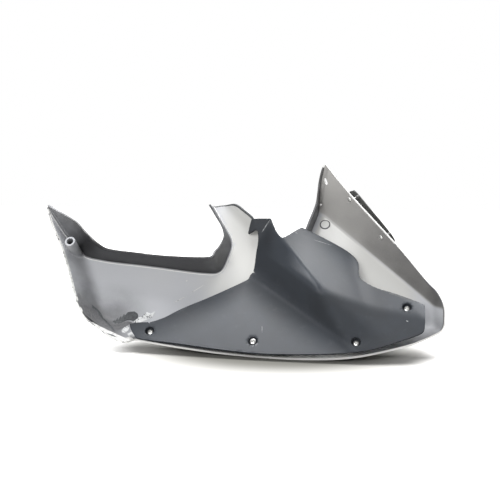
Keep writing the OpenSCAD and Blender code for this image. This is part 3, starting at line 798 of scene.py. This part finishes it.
# Screws and vent trim.
def pan_head(name, r, top, pin, length, recess):
    """Pan head screw with a cross recess, its head seated at height zero."""
    bm = bmesh.new()
    profile = [(pin, -length), (pin, 0), (r - 0.1, 0), (r, 0.12 * top), (r, 0.3 * top),
               (r * 0.97, 0.5 * top), (r * 0.88, 0.72 * top), (r * 0.7, 0.9 * top),
               (r * 0.4, 0.99 * top), (0.12 * r, top)]
    revolved(bm, (0, 0), profile, Matrix.Scale(MM, 4), 48)
    head = in_scene(name, new_mesh(name, bm))
    cross = bmesh.new()
    for turn in (0, math.pi / 2):
        size = Matrix.Diagonal((r * 1.1, r * 0.26, recess * 2, 1))
        spot = Matrix.Translation((0, 0, top)) @ Matrix.Rotation(turn, 4, "Z") @ size
        bmesh.ops.create_cube(cross, size=1, matrix=Matrix.Scale(MM, 4) @ spot)
    for vert in cross.verts:
        if vert.co.z < top * MM:
            vert.co.xy *= 0.72
    cutter = in_scene(name + "_cutter", new_mesh(name + "_cutter", cross))
    cut = head.modifiers.new("recess", "BOOLEAN")
    cut.object, cut.solver, cut.use_self = cutter, "EXACT", True
    applied(head, cut)
    bpy.data.objects.remove(cutter)
    for f in head.data.polygons:
        f.use_smooth = True
    head.data.set_sharp_from_angle(angle=SCREW_SHARP)
    return head


def screw_frame(at, square_to, turn):
    """Frame of a screw at a place, square to another frame and turned about its own axis."""
    upright = square_to.to_3x3().normalized().to_4x4()
    return Matrix.Translation(at) @ upright @ Matrix.Rotation(math.radians(turn), 4, "Z")


def placed_screws(name, template, frames, material):
    """One piece with the template repeated at each frame, by Geometry Nodes."""
    points = bpy.data.meshes.new(name)
    points.from_pydata([m.translation for m in frames], [], [])
    turn = points.attributes.new("turn", "FLOAT_VECTOR", "POINT")
    for k, m in enumerate(frames):
        turn.data[k].vector = m.to_euler()
    obj = in_scene(name, points)
    tree = bpy.data.node_groups.new(name + "_layout", "GeometryNodeTree")
    tree.interface.new_socket("Places", in_out="INPUT", socket_type="NodeSocketGeometry")
    tree.interface.new_socket("Screw", in_out="INPUT", socket_type="NodeSocketObject")
    tree.interface.new_socket("Finish", in_out="INPUT", socket_type="NodeSocketMaterial")
    tree.interface.new_socket("Screws", in_out="OUTPUT", socket_type="NodeSocketGeometry")
    add, link = tree.nodes.new, tree.links.new
    given, result = add("NodeGroupInput"), add("NodeGroupOutput")
    screw, attribute = add("GeometryNodeObjectInfo"), add("GeometryNodeInputNamedAttribute")
    attribute.data_type = "FLOAT_VECTOR"
    attribute.inputs["Name"].default_value = "turn"
    to_turn = add("FunctionNodeEulerToRotation")
    spread, real = add("GeometryNodeInstanceOnPoints"), add("GeometryNodeRealizeInstances")
    paint = add("GeometryNodeSetMaterial")
    link(given.outputs["Screw"], screw.inputs["Object"])
    link(given.outputs["Places"], spread.inputs["Points"])
    link(screw.outputs["Geometry"], spread.inputs["Instance"])
    link(attribute.outputs["Attribute"], to_turn.inputs["Euler"])
    link(to_turn.outputs["Rotation"], spread.inputs["Rotation"])
    link(spread.outputs["Instances"], real.inputs["Geometry"])
    link(real.outputs["Geometry"], paint.inputs["Geometry"])
    link(given.outputs["Finish"], paint.inputs["Material"])
    link(paint.outputs["Geometry"], result.inputs["Screws"])
    layout = obj.modifiers.new("layout", "NODES")
    layout.node_group = tree
    ids = {s.name: s.identifier for s in tree.interface.items_tree if s.in_out == "INPUT"}
    layout[ids["Screw"]], layout[ids["Finish"]] = template, material
    applied(obj, layout)
    bpy.data.objects.remove(template)
    return obj


# Trim: how far it stands off the wing, its wall and its lower edge, then screws and sockets.
TRIM_OFFSET, TRIM_WALL, TRIM_LOWER = 21, 3, 17
TRIM_PIN_R, TRIM_HEAD_R, TRIM_HEAD_HEIGHT, SOCKET_R, SOCKET_DEPTH = 1.6, 3, 1.8, 2.9, 6
UPPER_PIN, LOWER_PIN = (Vector((*p, face(*p, WING_WALL))) for p in TRIM_PINS)
PIN_SPAN = (LOWER_PIN - UPPER_PIN).length
# Bow of its face: height, and middle and half width across the strip.
BOW, BOW_MIDDLE, BOW_REACH = 0.8, -7, 10


def trim_frame():
    """Frame of the trim: u along its screws, n into the hollow, origin at the upper one."""
    u, n = (LOWER_PIN - UPPER_PIN).normalized(), WING_NORMAL
    t = n.cross(u)
    local = Matrix([[u[i], t[i], n[i], UPPER_PIN[i]] for i in range(3)] + [[0, 0, 0, 1]])
    return PANEL_FRAME @ local


def vent_trim(materials):
    """Strip outside the wing's leading edge, with a shallow bowed face and two sockets."""
    end = PIN_SPAN + 30
    outline = run([(-16, -TRIM_LOWER), (-16, -6), (-13, 0), (-9, 3), (20, 3), (PIN_SPAN + 3, 3),
                   (PIN_SPAN + 18, -3), (end, -10.2), (end, -TRIM_LOWER)], 4)
    outline += divided([(end, -TRIM_LOWER), (-16, -TRIM_LOWER)], 6)[1:-1]
    to_row = trim_frame()
    under = -TRIM_OFFSET - TRIM_WALL
    flat, faces = filled([list(p) for p in reversed(outline)], [], 5)
    bm = bmesh.new()
    bm.verts.layers.float.new("spray_dust_and_light")
    verts = []
    for p in flat:
        bow = BOW * max(0, 1 - ((p.y - BOW_MIDDLE) / BOW_REACH) ** 2)
        verts.append(bm.verts.new(to_row @ Vector((p.x, p.y, under + TRIM_WALL - BOW + bow))))
    for f in faces:
        laid(bm, verts, flat, f)
    thicken(bm, TRIM_WALL - BOW, 0.6)
    top = under + TRIM_WALL / 2 + SOCKET_DEPTH
    for u in (0, PIN_SPAN):
        revolved(bm, (u, 0), [(SOCKET_R + 1.2, under + 2), (SOCKET_R + 0.2, under + TRIM_WALL + 0.4),
                              (SOCKET_R, top - 0.4), (SOCKET_R - 0.4, top), (TRIM_PIN_R, top),
                              (TRIM_PIN_R, top - 2)], to_row, 28)
    obj = new_object("vent_trim_strip", bm, materials)
    return finish_piece(obj, ["vent_trim"])


# Materials. Sockets of a Mix node that blends colours, by number.
MIX_SHARE, MIX_A, MIX_B, MIX_RESULT = 0, 6, 7, 2


class Value:
    """Output of a material's node that takes arithmetic."""

    def __init__(self, maker, socket):
        self.maker, self.socket = maker, socket

    def math(self, operation, *others):
        """Result of a Math node that starts with this value."""
        return self.maker.node("ShaderNodeMath", [self, *others], operation=operation)

    def __add__(self, other):
        return self.math("ADD", other)

    def __sub__(self, other):
        return self.math("SUBTRACT", other)

    def __rsub__(self, other):
        return self.maker.node("ShaderNodeMath", [other, self], operation="SUBTRACT")

    def __mul__(self, other):
        return self.math("MULTIPLY", other)

    __radd__, __rmul__ = __add__, __mul__

    def along(self, direction):
        """Length of a place vector along a direction."""
        return self.maker.node("ShaderNodeVectorMath", [self, tuple(direction)], output="Value",
                               operation="DOT_PRODUCT")

    def step(self, low, high):
        """Zero below low, one above high and smooth between them."""
        return self.maker.node("ShaderNodeMapRange", {"Value": self, "From Min": low, "From Max": high},
                               interpolation_type="SMOOTHSTEP")


class Maker:
    """Builds the nodes of one material around its Principled shader."""

    def __init__(self, name, **constants):
        self.material = bpy.data.materials.new(name)
        self.material.use_nodes = True
        self.tree = self.material.node_tree
        self.shader = self.tree.nodes["Principled BSDF"]
        for key, value in constants.items():
            self.drive(key.replace("_", " ").title().replace("Ior", "IOR"), value)

    def node(self, kind, inputs, output=0, **settings):
        """Adds a node: its settings first, then its inputs by name or in order."""
        node = self.tree.nodes.new(kind)
        for key, value in settings.items():
            setattr(node, key, value)
        pairs = inputs.items() if isinstance(inputs, dict) else enumerate(inputs)
        for key, value in pairs:
            self.feed(node.inputs[key], value)
        return Value(self, node.outputs[output])

    def feed(self, socket, value):
        """Links a value to a socket, or sets a constant on it."""
        if isinstance(value, Value):
            self.tree.links.new(value.socket, socket)
        else:
            socket.default_value = value

    def drive(self, name, value):
        """Feeds one of the shader's sockets."""
        self.feed(self.shader.inputs[name], (*value, 1) if isinstance(value, tuple) else value)

    def place(self, scale=(1, 1, 1), shift=(0, 0, 0)):
        """Object coordinates in metres, scaled and shifted."""
        coords = self.node("ShaderNodeTexCoord", [], output="Object")
        return self.node("ShaderNodeMapping", {"Vector": coords, "Scale": scale, "Location": shift})

    def noise(self, scale, detail=2.0, rough=0.5, swirl=0.0, at=None):
        """Noise on the piece's own coordinates, or on those given."""
        return self.node("ShaderNodeTexNoise", {"Vector": at or self.place(), "Scale": scale,
                                                "Detail": detail, "Roughness": rough,
                                                "Distortion": swirl})

    def mix(self, share, a, b):
        """Blend of two colours by a share."""
        a, b = ((*c, 1) if isinstance(c, tuple) else c for c in (a, b))
        return self.node("ShaderNodeMix", {MIX_SHARE: share, MIX_A: a, MIX_B: b}, output=MIX_RESULT,
                         data_type="RGBA")

    def above_wing_foot(self):
        """Height over the fold where the wing leaves the panel, in millimetres."""
        rise = (X_AXIS * WING_RISE.x + V_AXIS * WING_RISE.y) / MM
        return (self.place().along(rise) - Vector(WING_FOOT).dot(WING_RISE)) * WING_SLOPE

    def attribute(self, name):
        """Value that the points of the piece carry."""
        return self.node("ShaderNodeAttribute", [], output="Fac", attribute_name=name)

    def bump(self, height, strength, distance):
        """Fine relief of the surface."""
        relief = self.node("ShaderNodeBump", {"Height": height, "Strength": strength,
                                              "Distance": distance})
        self.drive("Normal", relief)


BLACK_PLASTIC = (0.022, 0.022, 0.024)
SILVER = (0.47, 0.48, 0.505)
SILVER_THIN = (0.49, 0.48, 0.465)
SILVER_BRIGHT = (0.54, 0.54, 0.525)
SILVER_PALE = (0.80, 0.80, 0.785)


def oversprayed_plastic():
    """Black moulding under a dusting of silver paint that thins out on the steep walls; on the wing wall
    it is also darker towards the nose, partly as painted shade.
    """
    m = Maker("oversprayed_plastic")
    wing = m.above_wing_foot().step(-2.5, 3.5)
    # On the wing wall the value is capped and lowered towards the nose: thinner spray together with
    # painted shade.
    wing_darkening = m.place().along(X_AXIS).step(0.375, 0.495)
    spray_dust_and_light = m.attribute("spray_dust_and_light")
    wing_value = spray_dust_and_light.math("MINIMUM", 1.0) * (0.69 - wing_darkening * 0.31)
    spray_dust_and_light = spray_dust_and_light + (wing_value - spray_dust_and_light) * wing
    cloud = m.noise(26, 3, 0.55)
    grain = m.noise(900, 2, 0.6)
    cover = spray_dust_and_light + (cloud - 0.5) * (0.35 - wing * 0.2) + (grain - 0.5) * 0.12
    mask = cover.step(0.02, 1.0)
    brighter = (spray_dust_and_light + (m.noise(14, 2) - 0.5) * 0.5).step(0.95, 1.5)
    tone = m.mix(brighter, SILVER, SILVER_BRIGHT)
    tone = m.mix(spray_dust_and_light.step(1.5, 2.0), tone, SILVER_PALE)
    tone = m.mix(wing, tone, SILVER_THIN)
    m.drive("Base Color", m.mix(mask, BLACK_PLASTIC, tone))
    m.drive("Roughness", 0.42 + mask * 0.2)
    m.drive("Metallic", mask * 0.15)
    m.bump(grain * 0.5 + m.noise(220, 2), 0.25, 0.0004)
    return m.material


def show_paint():
    """Gloss silver finish of the panel's outer face."""
    m = Maker("show_paint", metallic=0.75, roughness=0.3, coat_weight=0.8)
    flake = m.noise(2600, 1)
    m.drive("Base Color", m.mix(flake.step(0.4, 0.6), (0.40, 0.41, 0.42), (0.50, 0.51, 0.52)))
    return m.material


def satin_plastic(name, tone, rough, matt=0.0):
    """Black moulded plastic with fine grain, faint dust and hairline scratches, and painted sheen and
    shade from the value its points carry.
    """
    m = Maker(name)
    light_and_dust = m.attribute("spray_dust_and_light")
    grain = m.noise(1500, 2, 0.6)
    cloud = m.noise(18, 3, 0.6)
    dust = m.noise(60, 4, 0.65).step(0.55, 0.8) * 0.08
    hair = m.noise(1.0, 4, at=m.place(scale=(14, 160, 60))).step(0.7, 0.74) * 0.12
    # The points' value paints light and shade: up to 1 it gives a paler tone of painted sheen and dust,
    # from 1 to 2 a pale film of painted sheen.
    sheen_and_dust = light_and_dust.step(0, 1)
    base = m.mix(cloud.step(0.3, 0.7) * 0.4 + sheen_and_dust * 0.6, tone, tuple(c * 2.2 for c in tone))
    base = m.mix(light_and_dust.step(1, 2), base, (0.125, 0.135, 0.15))
    m.drive("Base Color", m.mix(dust + hair * 0.3, base, (0.16, 0.16, 0.165)))
    m.drive("Roughness", rough + (cloud - 0.5) * 0.1 + dust * 0.3 - hair * 0.15
            + (1 - sheen_and_dust) * matt)
    m.bump(grain, 0.18, 0.0003)
    return m.material


def edge_paint_and_highlight():
    """Pale worn paint of the panel's rim, broken by darker nicks; its paleness is partly a painted
    highlight along the edges.
    """
    m = Maker("edge_paint_and_highlight", roughness=0.45)
    rear = 1 - m.place().along(X_AXIS).step(0.10, 0.13)
    nicks = m.noise(90, 4, 0.7).step(0.50, 0.62) * rear
    m.drive("Base Color", m.mix(nicks, (0.72, 0.72, 0.71), (0.22, 0.22, 0.225)))
    return m.material


def rough_plastic(name, dark, pale, scale, low, high):
    """Broken, scraped or smeared surface that goes from a dark to a pale tone."""
    m = Maker(name, roughness=0.62)
    swirl = m.noise(scale, 4, 0.65, swirl=1.5)
    m.drive("Base Color", m.mix(swirl.step(low, high), dark, pale))
    m.bump(swirl, 0.5, 0.0008)
    return m.material


def zinc_steel():
    """Bright plated steel of the screws."""
    m = Maker("zinc_steel", metallic=1.0)
    mottle = m.noise(500, 3, 0.6)
    m.drive("Base Color", m.mix(mottle, (0.62, 0.62, 0.60), (0.80, 0.80, 0.79)))
    m.drive("Roughness", 0.24 + mottle * 0.2)
    m.bump(mottle, 0.08, 0.0002)
    return m.material


# The panel.
overspray, paint = oversprayed_plastic(), show_paint()
liner_black = satin_plastic("liner_black", (0.013, 0.016, 0.021), 0.40, 0.42)
# Pale scuffs of the inner panel, also used to paint a highlight on its post.
liner_scuff_and_highlight = rough_plastic("liner_scuff_and_highlight", (0.05, 0.055, 0.06), (0.32, 0.33, 0.34), 300, 0.35, 0.6)
trim_black = satin_plastic("trim_black", (0.045, 0.045, 0.043), 0.45)
rim_paint_and_highlight = edge_paint_and_highlight()
torn = rough_plastic("torn_plastic", (0.035, 0.038, 0.042), (0.075, 0.08, 0.085), 240, 0.3, 0.7)
scraped = rough_plastic("scraped_paint", (0.24, 0.24, 0.24), (0.60, 0.60, 0.59), 130, 0.35, 0.5)
worn = rough_plastic("worn_paint", (0.07, 0.07, 0.074), (0.125, 0.127, 0.133), 120, 0.3, 0.7)
residue = rough_plastic("glue_residue", (0.07, 0.075, 0.08), (0.68, 0.69, 0.695), 170, 0.38, 0.5)
glue = rough_plastic("glue", (0.17, 0.175, 0.18), (0.55, 0.56, 0.565), 130, 0.38, 0.5)
zinc = zinc_steel()

# Finishes of each piece in the order of their numbers: front, back and rim, then its marks.
outer_moulding([overspray, paint, rim_paint_and_highlight, torn, scraped, worn, residue, glue])
inner_moulding([liner_black, liner_black, liner_black, liner_scuff_and_highlight, torn])
vent_trim([trim_black, trim_black, trim_black])

liner_frames = [screw_frame(place(x, v, seat((x, v, depth))), PANEL_FRAME, turn)
                for x, v, depth, turn in SCREW_PLACES]
head = pan_head("liner_screw", HEAD_R, HEAD_HEIGHT, SHANK_R, SHANK_LENGTH - 1, 1.4)
screws = placed_screws("liner_screws", head, liner_frames, zinc)
finish_piece(screws, ["corner_screw", "belly_screw", "front_screw", "nose_screw"])

to_row = trim_frame()
trim_frames = [screw_frame(to_row @ Vector((u, 0, 0)), to_row, turn)
               for u, turn in ((0, 25), (PIN_SPAN, 60))]
head = pan_head("trim_screw", TRIM_HEAD_R, TRIM_HEAD_HEIGHT, TRIM_PIN_R,
                TRIM_OFFSET + TRIM_WALL / 2 - 0.5, 0.9)
screws = placed_screws("trim_screws", head, trim_frames, zinc)
finish_piece(screws, ["trim_screw_upper", "trim_screw_lower"])

# Camera and studio.
AZ, EL, DISTANCE, LENS = math.radians(9), math.radians(6), 1.5, 72
TARGET = Vector((0.264, 0.050, -0.014))
BACKWARDS = Vector((math.sin(AZ) * math.cos(EL), -math.cos(AZ) * math.cos(EL), math.sin(EL)))
FLOOR_Z = cad_box[0][2] - 0.0005


def photo_camera():
    """Camera at the photo's place, looking along the photo's direction."""
    data = bpy.data.cameras.new("photo_camera")
    data.lens, data.sensor_width = LENS, 36
    cam = in_scene("photo_camera", data)
    cam.location = TARGET + BACKWARDS * DISTANCE
    cam.rotation_euler = BACKWARDS.to_track_quat("Z", "Y").to_euler()
    bpy.context.scene.camera = cam


def softbox(name, at, aim, size, power):
    """Large plain lamp that faces a point."""
    data = bpy.data.lights.new(name, "AREA")
    data.shape = "RECTANGLE"
    data.energy, data.size, data.size_y = power, *size
    obj = in_scene(name, data)
    obj.location = at
    obj.rotation_euler = (Vector(at) - Vector(aim)).to_track_quat("Z", "Y").to_euler()


def white_room(fill):
    """White to the camera, a plain fill light to the panel."""
    world = bpy.data.worlds.new("white_room")
    bpy.context.scene.world = world
    world.use_nodes = True
    nodes, link = world.node_tree.nodes, world.node_tree.links.new
    seen, mix = nodes.new("ShaderNodeLightPath"), nodes.new("ShaderNodeMix")
    mix.data_type = "RGBA"
    mix.inputs[MIX_A].default_value = (fill, fill, fill, 1)
    mix.inputs[MIX_B].default_value = (1, 1, 1, 1)
    link(seen.outputs["Is Camera Ray"], mix.inputs[MIX_SHARE])
    link(mix.outputs[MIX_RESULT], nodes["Background"].inputs["Color"])


# The painted shadow's middle in x and y, and how far it reaches, in metres.
SHADOW_CENTRE, SHADOW_REACH = (0.315, -0.035), (0.27, 0.20)


def white_floor():
    """White floor with a shadow painted into its colour near the panel, plain white beyond it."""
    bm = bmesh.new()
    bmesh.ops.create_grid(bm, x_segments=2, y_segments=2, size=2.2)
    bmesh.ops.translate(bm, verts=bm.verts, vec=(0.25, 0.9, FLOOR_Z))
    m = Maker("white_floor", roughness=0.9, specular_ior_level=0.0, emission_strength=1.0)
    seen = m.node("ShaderNodeLightPath", [], output="Is Camera Ray")
    scale = (1 / SHADOW_REACH[0], 1 / SHADOW_REACH[1], 0)
    shift = (-SHADOW_CENTRE[0] * scale[0], -SHADOW_CENTRE[1] * scale[1], 0)
    away = m.node("ShaderNodeVectorMath", [m.place(scale, shift)], output="Value", operation="LENGTH")
    # Near the panel the floor's colour is darker: a painted shadow, added to the one the lamps cast.
    m.drive("Base Color", m.mix(away.step(0.4, 0.95), (0.19, 0.188, 0.172), (0.80, 0.79, 0.77)))
    m.drive("Emission Color", m.mix(seen * away.step(0.72, 1.0), (0, 0, 0), (1, 1, 1)))
    mesh = new_mesh("floor", bm)
    mesh.materials.append(m.material)
    in_scene("floor", mesh)


photo_camera()
softbox("top_softbox", (0.3, 0.5, 1.3), (0.3, 0.45, 0), (1.8, 1.15), 52)
softbox("front_softbox", (-0.2, -2.0, 0.75), (0.25, 0, -0.05), (1.4, 0.8), 30)
white_room(0.30)
white_floor()
bpy.context.scene.view_settings.view_transform = "Standard"
